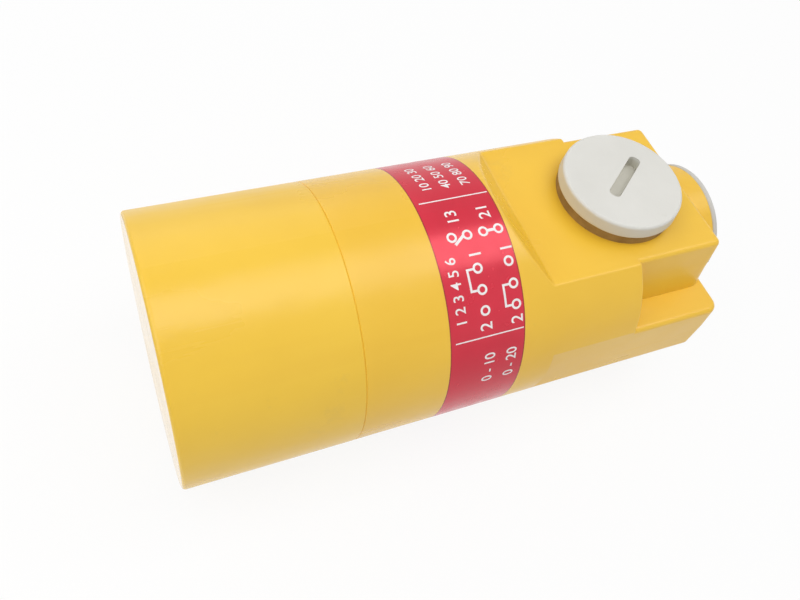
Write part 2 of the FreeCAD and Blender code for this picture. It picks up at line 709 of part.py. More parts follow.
def label():
    band = tube_x(LABEL_X, LABEL_X + LABEL_W, BARREL_R, BARREL_R - LABEL_T)
    half = BARREL_R * math.sin(math.radians(LABEL_GAP_DEG / 2))
    return band.cut(box(0, BIG, -half, half, -BARREL_R - 1, 0))


def housing_screws():
    made = []
    for side in (-1, 1):
        y = side * SCREW_Y
        x1 = SCREW_SEAT_X + SCREW_HEAD_H
        head = rod_x(SCREW_SEAT_X, x1, SCREW_HEAD_R, y, SCREW_Z)
        half_w, reach = SCREW_SLOT_W / 2, 2 * SCREW_HEAD_R
        low, high = SCREW_Z - reach, SCREW_Z + reach
        head = head.cut(box(x1 - SCREW_SLOT_DEPTH, BIG, y - half_w, y + half_w, low, high))
        made.append(fuse([head, rod_x(SCREW_TIP_X, SCREW_SEAT_X, SCREW_R, y, SCREW_Z)]))
    return Part.makeCompound(made)


# Entries

def thread_grooves(start, end, place):
    """Ring grooves at the thread's pitch, made by place(position)."""
    count = int((end - start) / THREAD_PITCH)
    return [place(start + (i + 0.5) * THREAD_PITCH) for i in range(count)]


def plug_gasket():
    return rod_z(FLAT_Z, HEAD_BASE_Z, PLUG_GASKET_R, PLUG_X, 0.0).cut(rod_z(0, BIG, THREAD_R, PLUG_X, 0.0))


def coin_slot():
    """Slot with rounded corners, a little off the middle of the plug's head along its own length."""
    slot = box(-SLOT_LEN / 2, SLOT_LEN / 2, -SLOT_W / 2, SLOT_W / 2, 0, 2 * SLOT_DEPTH)
    slot = round_edges(slot, SLOT_ROUND, lambda b: b.ZLength > SLOT_DEPTH)
    slot.translate(vec(SLOT_SHIFT, 0, 0))
    slot.rotate(vec(0, 0, 0), vec(0, 0, 1), SLOT_TURN_DEG)
    slot.translate(vec(PLUG_X, 0, PLUG_TOP_Z - SLOT_DEPTH))
    return slot


def blanking_plug():
    low = HEAD_BASE_Z - PLUG_THREAD_LEN
    head = Part.makeCone(PLUG_HEAD_R, PLUG_HEAD_R - PLUG_HEAD_DRAFT, PLUG_HEAD_H, vec(PLUG_X, 0, HEAD_BASE_Z))
    head = round_edges(head, PLUG_HEAD_ROUND, lambda b: b.ZMin > PLUG_TOP_Z - 1e-4)
    head = round_edges(head, PLUG_FOOT_ROUND, lambda b: b.ZMax < HEAD_BASE_Z + 1e-4)
    thread = rod_z(low, HEAD_BASE_Z + 0.5, THREAD_R, PLUG_X, 0.0)
    hollow = rod_z(low - 1, HEAD_BASE_Z - PLUG_ROOF_T, CORE_R, PLUG_X, 0.0)

    def groove(z):
        return Part.makeTorus(THREAD_R + 0.15, THREAD_DEPTH, vec(PLUG_X, 0, z), vec(0, 0, 1))

    rings = thread_grooves(low, FLAT_Z - 0.3, groove)
    return cut_all(fuse([head, thread]), [hollow, coin_slot()] + rings)


def gland_seal():
    return tube_x(SEAL_X, WASHER_X, ENTRY_R, CABLE_R, 0.0, GLAND_Z)


def gland_washer():
    return tube_x(WASHER_X, GLAND_THREAD_X, THREAD_R, CABLE_R, 0.0, GLAND_Z)


def gland_screw():
    end = COLLAR_X + GLAND_HEAD_H
    head = rod_x(COLLAR_X, end, GLAND_HEAD_R, 0.0, GLAND_Z)
    head = round_edges(head, 0.3, lambda b: b.XLength < 1e-4)
    thread = rod_x(GLAND_THREAD_X, COLLAR_X + 0.5, THREAD_R, 0.0, GLAND_Z)
    low = GLAND_Z - GLAND_SLOT_W / 2
    slot = box(end - GLAND_SLOT_DEPTH, end + 1, -BARREL_R, BARREL_R, low, low + GLAND_SLOT_W)

    def groove(x):
        return Part.makeTorus(THREAD_R + 0.15, THREAD_DEPTH, vec(x, 0, GLAND_Z), vec(1, 0, 0))

    rings = thread_grooves(GLAND_THREAD_X, COLLAR_X - 0.2, groove)
    return cut_all(fuse([head, thread]), [rod_x(0, BIG, CABLE_R, 0.0, GLAND_Z), slot] + rings)


PIECES = [
    front_cap, threaded_inserts, sensing_electrode, guard_ring, electrode_carrier, oscillator_board,
    electrode_lead, oscillator_parts, control_ic, screening_can, bulkhead, o_ring, main_board, lead_wires,
    rectifier, film_capacitor, electrolytic, choke, transistors, triac, resistors, terminal_carrier,
    terminal_cages, terminal_screws, function_link, trimmer_body, trimmer_rotor, housing, label,
    housing_screws, plug_gasket, blanking_plug, gland_seal, gland_washer, gland_screw,
]

for piece in PIECES:
    save(piece.__name__, piece())
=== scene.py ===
import bmesh
import bpy
import math
from mathutils import Matrix, Quaternion, Vector


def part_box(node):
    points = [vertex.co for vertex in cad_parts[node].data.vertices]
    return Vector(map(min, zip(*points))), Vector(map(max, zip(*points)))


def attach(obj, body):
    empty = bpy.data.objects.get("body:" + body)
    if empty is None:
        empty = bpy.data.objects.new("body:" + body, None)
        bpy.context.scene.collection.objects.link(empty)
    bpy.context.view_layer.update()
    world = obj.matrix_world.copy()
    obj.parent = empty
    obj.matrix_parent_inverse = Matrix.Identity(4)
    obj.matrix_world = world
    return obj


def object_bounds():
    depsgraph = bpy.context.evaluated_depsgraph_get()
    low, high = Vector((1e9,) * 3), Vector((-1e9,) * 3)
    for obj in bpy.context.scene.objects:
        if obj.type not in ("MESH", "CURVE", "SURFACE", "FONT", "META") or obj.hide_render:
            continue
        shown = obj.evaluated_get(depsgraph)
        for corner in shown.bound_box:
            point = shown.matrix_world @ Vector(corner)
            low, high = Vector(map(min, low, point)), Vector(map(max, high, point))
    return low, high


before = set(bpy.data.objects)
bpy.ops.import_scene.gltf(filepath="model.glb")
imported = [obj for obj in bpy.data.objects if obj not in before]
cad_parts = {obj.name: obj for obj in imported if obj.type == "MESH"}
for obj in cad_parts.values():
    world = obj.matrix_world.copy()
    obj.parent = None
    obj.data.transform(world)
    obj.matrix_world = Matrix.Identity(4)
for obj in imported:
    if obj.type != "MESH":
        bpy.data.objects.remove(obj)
CAD_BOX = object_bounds()
MM = 0.001
BARREL_AXIS = Vector((1, 0, 0))

# Camera, found from the barrel's circles and the flat's edges in the photograph
EYE = Vector((-0.003355, -0.057378, 0.101139))
LOOKS_AT = Vector((0.040277, 0.002473, 0.0))
ROLL_DEG = 17.866
LENS_MM = 34.995
SENSOR_MM = 36.0
SHIFT = (-0.0048, -0.0270)
CLIP = (0.005, 20.0)

# Floor and room: the eye sees them whiter than the light that they give
FLOOR_HALF = 3.0
FLOOR_COLOUR = (0.90, 0.90, 0.90, 1.0)
FLOOR_FADE = (0.45, 1.6)
FLOOR_WHITE = (0.9, 1.0)
ROOM_COLOUR = (1.0, 1.0, 1.0, 1.0)
ROOM_LIGHT = 0.35
ROOM_SEEN = 1.0

# Soft boxes: place, length along the barrel, width, power
LAMP_AIM = Vector((0.045, 0.0, 0.0))
LAMPS = {
    "strip": ((0.18, -0.05, 0.55), 0.70, 0.30, 1.62),
    "key": ((-0.20, 0.0, 0.22), 0.25, 0.25, 0.34),
    "back": ((0.0, 0.45, 0.35), 0.45, 0.45, 0.45),
    "fill": ((0.15, -0.55, 0.35), 0.75, 0.75, 0.42),
}

# Surfaces: depths of waves and grain, and the skins where a finish changes
WAVE_DEPTH = 0.25 * MM
GRAIN_DEPTH = 0.05 * MM
FINE_GRAIN_DEPTH = 0.03 * MM
FACE_SKIN = (0.02 * MM, 0.2 * MM)
FACE_POLISH = 0.3
# Band edges: where the painted shadow line starts and where it reaches full strength
FOIL_EDGE_SHADOW = (0.20 * MM, 0.10 * MM)
# Plug: the top skin kept free of painted shade, and the blend into the painted shade below it
PLUG_UNSHADED_SKIN = 0.35 * MM
PLUG_SHADE_BLEND = 0.3 * MM
CAN_STRIPE = (0.30 * MM, 0.25 * MM)
CAN_TOP = (0.15 * MM, 0.08 * MM)

# Band and the sizes of its printed marks, in mm
LABEL_LOW, LABEL_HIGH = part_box("label")
LABEL_R = LABEL_HIGH.y
LABEL_FRONT = LABEL_LOW.x / MM
LABEL_REAR = LABEL_HIGH.x / MM
PRINT_LIFT = 0.012
PRINT_STEP = 0.6
PRINT_CUTS = 5
STROKE = 0.33
LEVER_W = 1.3 * STROKE
RING_R = 0.6
RING_STEPS = 28
CONTACT_GAP = 2.4
OPEN_LEVER_TIP = (1.15, -1.0)
BRIDGE_GAP = 3.0
BRIDGE_REACH = 1.65
DIGIT_SIZE = 1.38
DIGIT_WEIGHT = 0.012

# Places on the band: degrees from the barrel's top towards the near side, and mm from the front edge
DIVIDER_DEG = (-5.3, 55.1)
DIVIDER_FRONT_GAP = 0.8
DIVIDER_REAR_GAP = 0.25
DIVIDER_W = 0.2
SCHEMES = (
    {"line": 5.7, "pair": "13", "bridge_deg": 31.2, "ring_deg": 44.0, "closed": False},
    {"line": 10.6, "pair": "21", "bridge_deg": 40.1, "ring_deg": 26.7, "closed": True},
)
COUNT_DEG = 34.5
COUNT_LINE = 1.9
COUNT_H = 1.6
TENS = ("10 20 30", "40 50 60", "70 80 90")
TENS_DEG = -11.5
TENS_LINE = 3.2
TENS_STEP = 3.05
TENS_H = 1.5
SPANS = ((6.2, "0 - 10"), (9.7, "0 - 20"))
SPAN_DEG = 71.0
SPAN_H = 1.7

# Marks that both schemes have: degrees, and mm from the scheme's line
PAIR_AT = (4.0, -1.25)
PAIR_H = 1.8
CONTACT_AT = (12.8, -1.2)
FIRST_AT = (21.3, 0.1)
SECOND_AT = (50.6, -0.1)
SINGLE_H = 1.9


def add_object(name, data):
    """Puts new data into the scene."""
    obj = bpy.data.objects.new(name, data)
    bpy.context.scene.collection.objects.link(obj)
    return obj


# Node helpers

class Net:
    """Short calls for the nodes of one node tree."""

    def __init__(self, tree):
        self.nodes = tree.nodes
        self.links = tree.links

    def link(self, source, target):
        self.links.new(source, target)

    def coordinates(self):
        """Places in the object's own frame, in metres."""
        return self.nodes.new("ShaderNodeTexCoord").outputs["Object"]

    def spread(self, value, low, high, to_low=0.0, to_high=1.0):
        """Maps low to high onto to_low to to_high, and holds the ends beyond them."""
        node = self.nodes.new("ShaderNodeMapRange")
        for name, number in (("From Min", low), ("From Max", high), ("To Min", to_low), ("To Max", to_high)):
            node.inputs[name].default_value = number
        self.link(value, node.inputs["Value"])
        return node.outputs["Result"]

    def calc(self, operation, a, b=0.0):
        """One sum with two values, each a socket or a number."""
        node = self.nodes.new("ShaderNodeMath")
        node.operation = operation
        for socket, value in zip(node.inputs, (a, b)):
            if isinstance(value, (int, float)):
                socket.default_value = value
            else:
                self.link(value, socket)
        return node.outputs["Value"]

    def length(self, vector):
        node = self.nodes.new("ShaderNodeVectorMath")
        node.operation = "LENGTH"
        self.link(vector, node.inputs[0])
        return node.outputs["Value"]

    def seen(self):
        """1 for rays from the eye, in mirrors and through clear pieces, 0 for rays that light."""
        path = self.nodes.new("ShaderNodeLightPath").outputs
        mirrored = self.calc("MAXIMUM", path["Is Camera Ray"], path["Is Glossy Ray"])
        return self.calc("MAXIMUM", mirrored, path["Is Transmission Ray"])


class Finish(Net):
    """A material with one Principled shader."""

    def __init__(self, name):
        self.material = bpy.data.materials.new(name)
        self.material.use_nodes = True
        super().__init__(self.material.node_tree)
        self.shader = self.nodes["Principled BSDF"]
        self.place = self.coordinates()

    def set(self, **values):
        """Sets the shader's sockets; an underscore in a name stands for a space."""
        for name, value in values.items():
            self.shader.inputs[name.replace("_", " ")].default_value = value

    def axis(self, name):
        """One coordinate of the object's own frame, in metres."""
        node = self.nodes.new("ShaderNodeSeparateXYZ")
        self.link(self.place, node.inputs["Vector"])
        return node.outputs[name]

    def distance(self, axis, middle):
        """How far a point lies from a middle plane, either way along an axis."""
        return self.calc("ABSOLUTE", self.calc("SUBTRACT", self.axis(axis), middle))

    def stretched(self, x, y, z):
        """Coordinates scaled by an own factor along each axis."""
        node = self.nodes.new("ShaderNodeMapping")
        node.inputs["Scale"].default_value = (x, y, z)
        self.link(self.place, node.inputs["Vector"])
        return node.outputs["Vector"]

    def noise(self, scale, detail, place=None, rough=0.5):
        node = self.nodes.new("ShaderNodeTexNoise")
        node.inputs["Scale"].default_value = scale
        node.inputs["Detail"].default_value = detail
        node.inputs["Roughness"].default_value = rough
        self.link(place or self.place, node.inputs["Vector"])
        return node.outputs["Fac"]

    def patches(self, scale, detail, low=0.0, high=1.0, span=(0.3, 0.7), place=None, rough=0.5):
        """Noise whose values within span are spread over low to high."""
        return self.spread(self.noise(scale, detail, place, rough), *span, low, high)

    def mix(self, factor, a, b):
        """Blends two colours, each a socket or an (r, g, b) triple."""
        node = self.nodes.new("ShaderNodeMix")
        node.data_type = "RGBA"
        self.link(factor, node.inputs["Factor"])
        for name, value in (("A", a), ("B", b)):
            socket = [s for s in node.inputs if s.name == name and s.type == "RGBA"][0]
            if isinstance(value, tuple):
                socket.default_value = value + (1.0,)
            else:
                self.link(value, socket)
        return [s for s in node.outputs if s.type == "RGBA"][0]

    def colour(self, source):
        self.link(source, self.shader.inputs["Base Color"])

    def rough(self, source):
        self.link(source, self.shader.inputs["Roughness"])

    def metallic(self, source):
        self.link(source, self.shader.inputs["Metallic"])

    def bump(self, height, strength, depth):
        """Adds a bump texture on top of those made before."""
        node = self.nodes.new("ShaderNodeBump")
        node.inputs["Strength"].default_value = strength
        node.inputs["Distance"].default_value = depth
        self.link(height, node.inputs["Height"])
        normal = self.shader.inputs["Normal"]
        if normal.is_linked:
            self.link(normal.links[0].from_socket, node.inputs["Normal"])
        self.link(node.outputs["Normal"], normal)


# Outer finishes

def yellow_plastic(name, dark, pale):
    """Semi-gloss moulded plastic, slightly wavy, with flow marks, smudges, scratches and a polished face."""
    flow_tint = (0.82, 0.460, 0.030)
    smudge_tint = (0.52, 0.36, 0.10)
    f = Finish(name)
    base = f.mix(f.patches(38, 4, span=(0.35, 0.68)), dark, pale)
    flow = f.patches(210, 2, 0.0, 0.25, (0.56, 0.78), f.stretched(0.12, 1, 1))
    base = f.mix(flow, base, flow_tint)
    smudge = f.patches(62, 6, 0.0, 0.32, (0.62, 0.80), rough=0.7)
    f.colour(f.mix(smudge, base, smudge_tint))
    gloss = f.patches(55, 5, 0.22, 0.40, (0.3, 0.75), f.stretched(0.5, 1, 1))
    scratch = f.patches(900, 2, 0.0, 0.08, (0.60, 0.75), f.stretched(0.05, 1, 1))
    polish = f.spread(f.axis("X"), *FACE_SKIN, FACE_POLISH, 1.0)
    f.rough(f.calc("MULTIPLY", f.calc("ADD", gloss, scratch), polish))
    f.bump(f.noise(140, 2), 0.60, WAVE_DEPTH)
    f.bump(f.noise(2600, 1), 0.03, GRAIN_DEPTH)
    f.set(IOR=1.5)
    return f.material


def grey_plastic(name, dark, pale, shade_below_z=None):
    """Light grey satin plastic with a fine sand grain; below a given height its colour is darkened as
    painted shade.
    """
    dirt_tint = (0.50, 0.47, 0.40)
    painted_shade_tint = (0.548, 0.516, 0.393)
    f = Finish(name)
    base = f.mix(f.patches(120, 4), dark, pale)
    dirt = f.patches(300, 6, 0.0, 0.25, (0.63, 0.8), rough=0.7)
    base = f.mix(dirt, base, dirt_tint)
    # Painted shade: colour darkened below the top face, on the plug's sides and in its slot
    if shade_below_z is not None:
        painted_shade = f.spread(f.axis("Z"), shade_below_z - PLUG_SHADE_BLEND, shade_below_z, 0.38, 0.0)
        base = f.mix(painted_shade, base, painted_shade_tint)
    f.colour(base)
    f.rough(f.patches(700, 3, 0.40, 0.54))
    f.bump(f.noise(3200, 2), 0.16, GRAIN_DEPTH)
    f.set(IOR=1.48)
    return f.material


def rubber(name, dark, pale):
    """Matt rubber with a fine grain."""
    f = Finish(name)
    f.colour(f.mix(f.patches(500, 4, span=(0.35, 0.7)), dark, pale))
    f.rough(f.patches(900, 3, 0.62, 0.80))
    f.bump(f.noise(2400, 2), 0.2, GRAIN_DEPTH)
    f.set(IOR=1.45)
    return f.material


def red_foil():
    """Red printed foil with a satin metal sheen, a few rub marks and a painted shadow line along both edges.
    """
    dark, pale = (0.58, 0.007, 0.030), (0.66, 0.012, 0.040)
    rub_tint = (0.74, 0.16, 0.18)
    edge_shadow_tint = (0.17, 0.010, 0.010)
    middle = (LABEL_LOW.x + LABEL_HIGH.x) / 2
    half = (LABEL_HIGH.x - LABEL_LOW.x) / 2
    f = Finish("red_foil")
    base = f.mix(f.patches(90, 4), dark, pale)
    rub = f.patches(260, 6, 0.0, 0.18, (0.68, 0.82), f.stretched(1, 0.4, 0.4), 0.7)
    base = f.mix(rub, base, rub_tint)
    # Painted shadow: a thin dark line along both edges of the band
    edge_shadow = f.spread(f.distance("X", middle), half - FOIL_EDGE_SHADOW[0], half - FOIL_EDGE_SHADOW[1], 0.0, 0.75)
    f.colour(f.mix(edge_shadow, base, edge_shadow_tint))
    f.rough(f.patches(520, 3, 0.18, 0.28))
    f.bump(f.noise(900, 2, f.stretched(0.2, 1, 1)), 0.04, GRAIN_DEPTH)
    f.set(IOR=1.5, Metallic=0.2, Specular_IOR_Level=0.55)
    return f.material


def white_ink():
    """Satin printing ink of slightly uneven density."""
    thin, full = (0.84, 0.80, 0.80), (0.93, 0.90, 0.90)
    f = Finish("white_ink")
    f.colour(f.mix(f.patches(900, 5, span=(0.35, 0.7)), thin, full))
    f.rough(f.patches(1500, 2, 0.40, 0.55))
    f.set(IOR=1.48)
    return f.material


# Inner finishes

def moulded(name, dark, pale, low=0.42, high=0.56, grain=0.10):
    """Plain moulded plastic with clouding and a grain; low and high bound its roughness."""
    f = Finish(name)
    f.colour(f.mix(f.patches(160, 4), dark, pale))
    f.rough(f.patches(600, 3, low, high))
    f.bump(f.noise(2200, 2), grain, GRAIN_DEPTH)
    f.set(IOR=1.5)
    return f.material


def metal(name, dark, pale, brush, low=0.22, high=0.38):
    """Metal with tarnish clouds and brush marks along the axis with the smallest factor."""
    f = Finish(name)
    f.colour(f.mix(f.patches(220, 5, span=(0.3, 0.72)), dark, pale))
    marks = f.noise(1600, 3, f.stretched(*brush))
    f.rough(f.spread(marks, 0.3, 0.7, low, high))
    f.bump(marks, 0.06, FINE_GRAIN_DEPTH)
    f.set(Metallic=1.0)
    return f.material


def board():
    """Green board: weave under the mask, and copper runs as paler, raised bands."""
    mask_dark, mask_pale = (0.012, 0.130, 0.045), (0.020, 0.170, 0.062)
    run_tint = (0.055, 0.30, 0.11)
    f = Finish("board")
    weave = f.patches(1500, 1, span=(0.35, 0.65), place=f.stretched(1, 0.25, 1))
    mask = f.mix(weave, mask_dark, mask_pale)
    runs = f.nodes.new("ShaderNodeTexBrick")
    runs.inputs["Scale"].default_value = 190
    runs.inputs["Mortar Size"].default_value = 0.11
    f.link(f.place, runs.inputs["Vector"])
    f.colour(f.mix(f.spread(runs.outputs["Fac"], 0.0, 1.0, 0.0, 0.55), mask, run_tint))
    f.rough(f.patches(800, 2, 0.30, 0.42))
    f.bump(runs.outputs["Fac"], 0.25, GRAIN_DEPTH)
    f.set(IOR=1.5)
    return f.material


def choke_finish():
    """Dark ferrite drum with a copper winding between its flanges."""
    shaded_wire, lit_wire = (0.33, 0.11, 0.035), (0.62, 0.25, 0.09)
    ferrite = (0.045, 0.045, 0.05)
    winding_share, flange_share = 0.655, 0.675
    low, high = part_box("choke")
    middle, half = (low.z + high.z) / 2, (high.z - low.z) / 2
    f = Finish("choke_finish")
    flange = f.spread(f.distance("Z", middle), winding_share * half, flange_share * half)
    wire = f.nodes.new("ShaderNodeTexWave")
    wire.bands_direction = "Z"
    wire.inputs["Scale"].default_value = 900
    f.link(f.place, wire.inputs["Vector"])
    copper = f.mix(wire.outputs["Fac"], shaded_wire, lit_wire)
    f.colour(f.mix(flange, copper, ferrite))
    f.rough(f.spread(flange, 0.0, 1.0, 0.32, 0.60))
    f.bump(wire.outputs["Fac"], 0.3, GRAIN_DEPTH)
    return f.material


def can_sleeve():
    """Dark shrink sleeve with a pale polarity stripe and a bare aluminium top."""
    dark, pale = (0.020, 0.026, 0.06), (0.03, 0.04, 0.085)
    stripe_tint = (0.55, 0.56, 0.58)
    aluminium = (0.66, 0.66, 0.66)
    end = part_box("electrolytic")[1]
    f = Finish("can_sleeve")
    stripe = f.spread(f.axis("X"), end.x - CAN_STRIPE[0], end.x - CAN_STRIPE[1])
    sleeve = f.mix(f.patches(300, 3), dark, pale)
    sleeve = f.mix(stripe, sleeve, stripe_tint)
    top = f.spread(f.axis("Z"), end.z - CAN_TOP[0], end.z - CAN_TOP[1])
    f.colour(f.mix(top, sleeve, aluminium))
    f.metallic(top)
    f.rough(f.patches(700, 2, 0.26, 0.36))
    f.bump(f.noise(1800, 2), 0.05, GRAIN_DEPTH)
    return f.material


def resistor_body():
    """Lacquered resistors with four colour bands; the thin ends are tinned wire."""
    dark, pale = (0.50, 0.38, 0.22), (0.60, 0.47, 0.29)
    tin = (0.62, 0.61, 0.58)
    brown, black = (0.25, 0.07, 0.02), (0.02, 0.02, 0.02)
    orange, gold = (0.55, 0.10, 0.02), (0.55, 0.40, 0.08)
    body_share = 0.59
    low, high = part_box("resistors")
    middle = (low.x + high.x) / 2
    half = body_share * (high.x - low.x) / 2
    f = Finish("resistor_body")
    paint = f.mix(f.patches(500, 3), dark, pale)
    for offset, tint in ((-0.68, brown), (-0.32, black), (0.04, orange), (0.64, gold)):
        away = f.distance("X", middle + offset * half)
        paint = f.mix(f.spread(away, 0.095 * half, 0.11 * half, 1.0, 0.0), paint, tint)
    wire = f.spread(f.distance("X", middle), 0.99 * half, half)
    f.colour(f.mix(wire, paint, tin))
    f.metallic(wire)
    f.rough(f.patches(900, 2, 0.28, 0.40))
    return f.material


def power_package():
    """Black package with a tinned metal tab in front and tinned legs behind."""
    dark, pale = (0.012, 0.012, 0.013), (0.024, 0.024, 0.025)
    tin = (0.60, 0.60, 0.58)
    tab_share, leg_share, blend_share = 0.34, 0.84, 0.003
    low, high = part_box("triac")
    length = high.x - low.x
    tab_end = low.x + tab_share * length
    leg_start = low.x + leg_share * length
    blend = blend_share * length
    f = Finish("power_package")
    tab = f.spread(f.axis("X"), tab_end - blend, tab_end, 1.0, 0.0)
    leg = f.spread(f.axis("X"), leg_start, leg_start + blend)
    bare = f.calc("MAXIMUM", tab, leg)
    f.colour(f.mix(bare, f.mix(f.patches(600, 3), dark, pale), tin))
    f.metallic(bare)
    f.rough(f.patches(1400, 2, 0.36, 0.52))
    f.bump(f.noise(2500, 2), 0.08, FINE_GRAIN_DEPTH)
    return f.material


# Below this height the plug's colour is darkened as painted shade
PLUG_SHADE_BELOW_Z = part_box("blanking_plug")[1].z - PLUG_UNSHADED_SKIN
CAP_YELLOW = yellow_plastic("cap_yellow", (0.86, 0.532, 0.035), (0.91, 0.578, 0.046))
HOUSING_YELLOW = yellow_plastic("housing_yellow", (0.85, 0.506, 0.033), (0.90, 0.551, 0.043))
PLUG_GREY = grey_plastic("plug_plastic", (0.690, 0.680, 0.635), (0.740, 0.730, 0.685), PLUG_SHADE_BELOW_Z)
# Gland screw: a darker copy of the plug's grey, as painted shade on its rim
GLAND_GREY_SHADED = grey_plastic("gland_plastic_shaded", (0.555, 0.550, 0.520), (0.600, 0.590, 0.560))
BLACK_RUBBER = rubber("black_rubber", (0.012, 0.012, 0.012), (0.030, 0.030, 0.029))
BROWN_RUBBER = rubber("brown_rubber", (0.260, 0.157, 0.050), (0.380, 0.240, 0.080))
CHIP = moulded("chip_black", (0.012, 0.012, 0.013), (0.026, 0.026, 0.028))
CREAM = moulded("cream_plastic", (0.60, 0.54, 0.40), (0.68, 0.63, 0.49))
BRASS = metal("brass", (0.48, 0.31, 0.10), (0.72, 0.52, 0.22), (0.2, 1, 1))
STEEL = metal("steel", (0.42, 0.42, 0.43), (0.62, 0.62, 0.62), (1, 0.3, 1), 0.24, 0.40)
TIN = metal("tinplate", (0.50, 0.50, 0.48), (0.66, 0.66, 0.64), (0.2, 1, 1), 0.30, 0.44)
COPPER = metal("copper_foil", (0.48, 0.19, 0.08), (0.72, 0.36, 0.20), (1, 0.3, 1))
BOARD = board()

FINISHES = {
    "front_cap": CAP_YELLOW, "housing": HOUSING_YELLOW, "label": red_foil(),
    "blanking_plug": PLUG_GREY, "gland_screw": GLAND_GREY_SHADED,
    "plug_gasket": BROWN_RUBBER, "gland_seal": BLACK_RUBBER, "o_ring": BLACK_RUBBER,
    "bulkhead": moulded("dark_plastic", (0.030, 0.030, 0.033), (0.052, 0.052, 0.056)),
    "electrode_carrier": CREAM, "terminal_carrier": CREAM,
    "threaded_inserts": BRASS, "terminal_cages": BRASS, "function_link": BRASS,
    "sensing_electrode": COPPER, "guard_ring": COPPER,
    "screening_can": TIN, "electrode_lead": TIN,
    "terminal_screws": STEEL, "housing_screws": STEEL, "gland_washer": STEEL,
    "oscillator_board": BOARD, "main_board": BOARD,
    "oscillator_parts": CHIP, "control_ic": CHIP, "rectifier": CHIP, "transistors": CHIP,
    "triac": power_package(), "resistors": resistor_body(),
    "electrolytic": can_sleeve(), "choke": choke_finish(),
    "film_capacitor": moulded("blue_film", (0.035, 0.085, 0.27), (0.055, 0.12, 0.34), 0.22, 0.32, 0.03),
    "lead_wires": moulded("wire_sleeve", (0.42, 0.02, 0.02), (0.52, 0.035, 0.03), 0.26, 0.38, 0.03),
    "trimmer_body": moulded("blue_plastic", (0.020, 0.085, 0.28), (0.030, 0.11, 0.34), 0.28, 0.40, 0.05),
    "trimmer_rotor": moulded("white_plastic", (0.70, 0.70, 0.68), (0.78, 0.78, 0.75)),
}


def finish_nodes():
    """Gives each solid its finish."""
    for name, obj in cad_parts.items():
        obj.data.materials.clear()
        obj.data.materials.append(FINISHES[name])


# Print on the band: flat marks in (arc, x) millimetres, then wrapped round the barrel

def on_band(degrees, line):
    """Flat place of a mark: arc length from the barrel's top, and x along the barrel."""
    return math.radians(degrees) * LABEL_R / MM, LABEL_FRONT + line


def add_line(bm, a, b, width):
    """A straight stroke with square ends."""
    a, b = Vector(a), Vector(b)
    side = (b - a).normalized().orthogonal() * width / 2
    corners = [a - side, b - side, b + side, a + side]
    bm.faces.new([bm.verts.new((p.x, p.y, 0)) for p in corners])


def add_ring(bm, centre):
    """A round terminal."""
    inner, outer = [], []
    for i in range(RING_STEPS):
        turn = 2 * math.pi * i / RING_STEPS
        way = Vector((math.cos(turn), math.sin(turn)))
        inner.append(bm.verts.new((*(Vector(centre) + way * (RING_R - STROKE / 2)), 0)))
        outer.append(bm.verts.new((*(Vector(centre) + way * (RING_R + STROKE / 2)), 0)))
    for i in range(RING_STEPS):
        j = (i + 1) % RING_STEPS
        bm.faces.new((inner[i], inner[j], outer[j], outer[i]))


def add_number(bm, digits, at, height, align="CENTER"):
    """Plain digits that read along the band, upwards in the photograph."""
    curve = bpy.data.curves.new("digits", "FONT")
    curve.body = digits
    curve.size = height * DIGIT_SIZE
    curve.align_x = align
    curve.offset = height * DIGIT_WEIGHT
    holder = add_object("digits", curve)
    bpy.context.view_layer.update()
    mesh = bpy.data.meshes.new_from_object(holder)
    made = {}
    for v in mesh.vertices:
        along = -v.co.x + at[0]
        across = -v.co.y + height / 2 + at[1]
        made[v.index] = bm.verts.new((along, across, 0))
    for p in mesh.polygons:
        bm.faces.new([made[i] for i in p.vertices])
    bpy.data.objects.remove(holder)
    bpy.data.curves.remove(curve)
    bpy.data.meshes.remove(mesh)


def add_contact(bm, at, closed):
    """Two round terminals with a lever between them, open or closed."""
    u, x = at
    reach = CONTACT_GAP / 2
    for side in (-1, 1):
        add_ring(bm, (u, x + side * reach))
    closed_tip = (u, x - reach + RING_R)
    open_tip = (u + OPEN_LEVER_TIP[0], x + OPEN_LEVER_TIP[1])
    add_line(bm, (u, x + reach - RING_R), closed_tip if closed else open_tip, LEVER_W)


def add_bridge(bm, at):
    """Two round terminals joined by a square bracket."""
    u, x = at
    back = x - BRIDGE_REACH
    for side in (-1, 1):
        end = u + side * BRIDGE_GAP / 2
        add_ring(bm, (end, x))
        add_line(bm, (end, x - RING_R), (end, back), STROKE)
    half = (BRIDGE_GAP + STROKE) / 2
    add_line(bm, (u - half, back), (u + half, back), STROKE)


def add_scheme(bm, line, pair, bridge_deg, ring_deg, closed):
    """One wiring scheme along the band: a contact, a bridge, a single terminal and their numbers."""
    def beside(place):
        degrees, shift = place
        return on_band(degrees, line + shift)

    add_number(bm, pair, beside(PAIR_AT), PAIR_H)
    add_contact(bm, beside(CONTACT_AT), closed)
    add_number(bm, "1", beside(FIRST_AT), SINGLE_H)
    add_bridge(bm, on_band(bridge_deg, line))
    add_ring(bm, on_band(ring_deg, line))
    add_number(bm, "2", beside(SECOND_AT), SINGLE_H)


def add_divider(bm, degrees):
    """A thin line across the band."""
    u, x = on_band(degrees, DIVIDER_FRONT_GAP)
    add_line(bm, (u, x), (u, LABEL_REAR - DIVIDER_REAR_GAP), DIVIDER_W)


def wrap(bm):
    """Cuts long edges and bends the flat marks round the band."""
    for _ in range(PRINT_CUTS):
        long = [e for e in bm.edges if e.calc_length() > PRINT_STEP]
        if not long:
            break
        bmesh.ops.subdivide_edges(bm, edges=long, cuts=1)
        bmesh.ops.triangulate(bm, faces=[f for f in bm.faces if len(f.verts) > 4])
    r = LABEL_R + PRINT_LIFT * MM
    for v in bm.verts:
        turn = v.co.x * MM / LABEL_R
        v.co = Vector((v.co.y * MM, -r * math.sin(turn), r * math.cos(turn)))


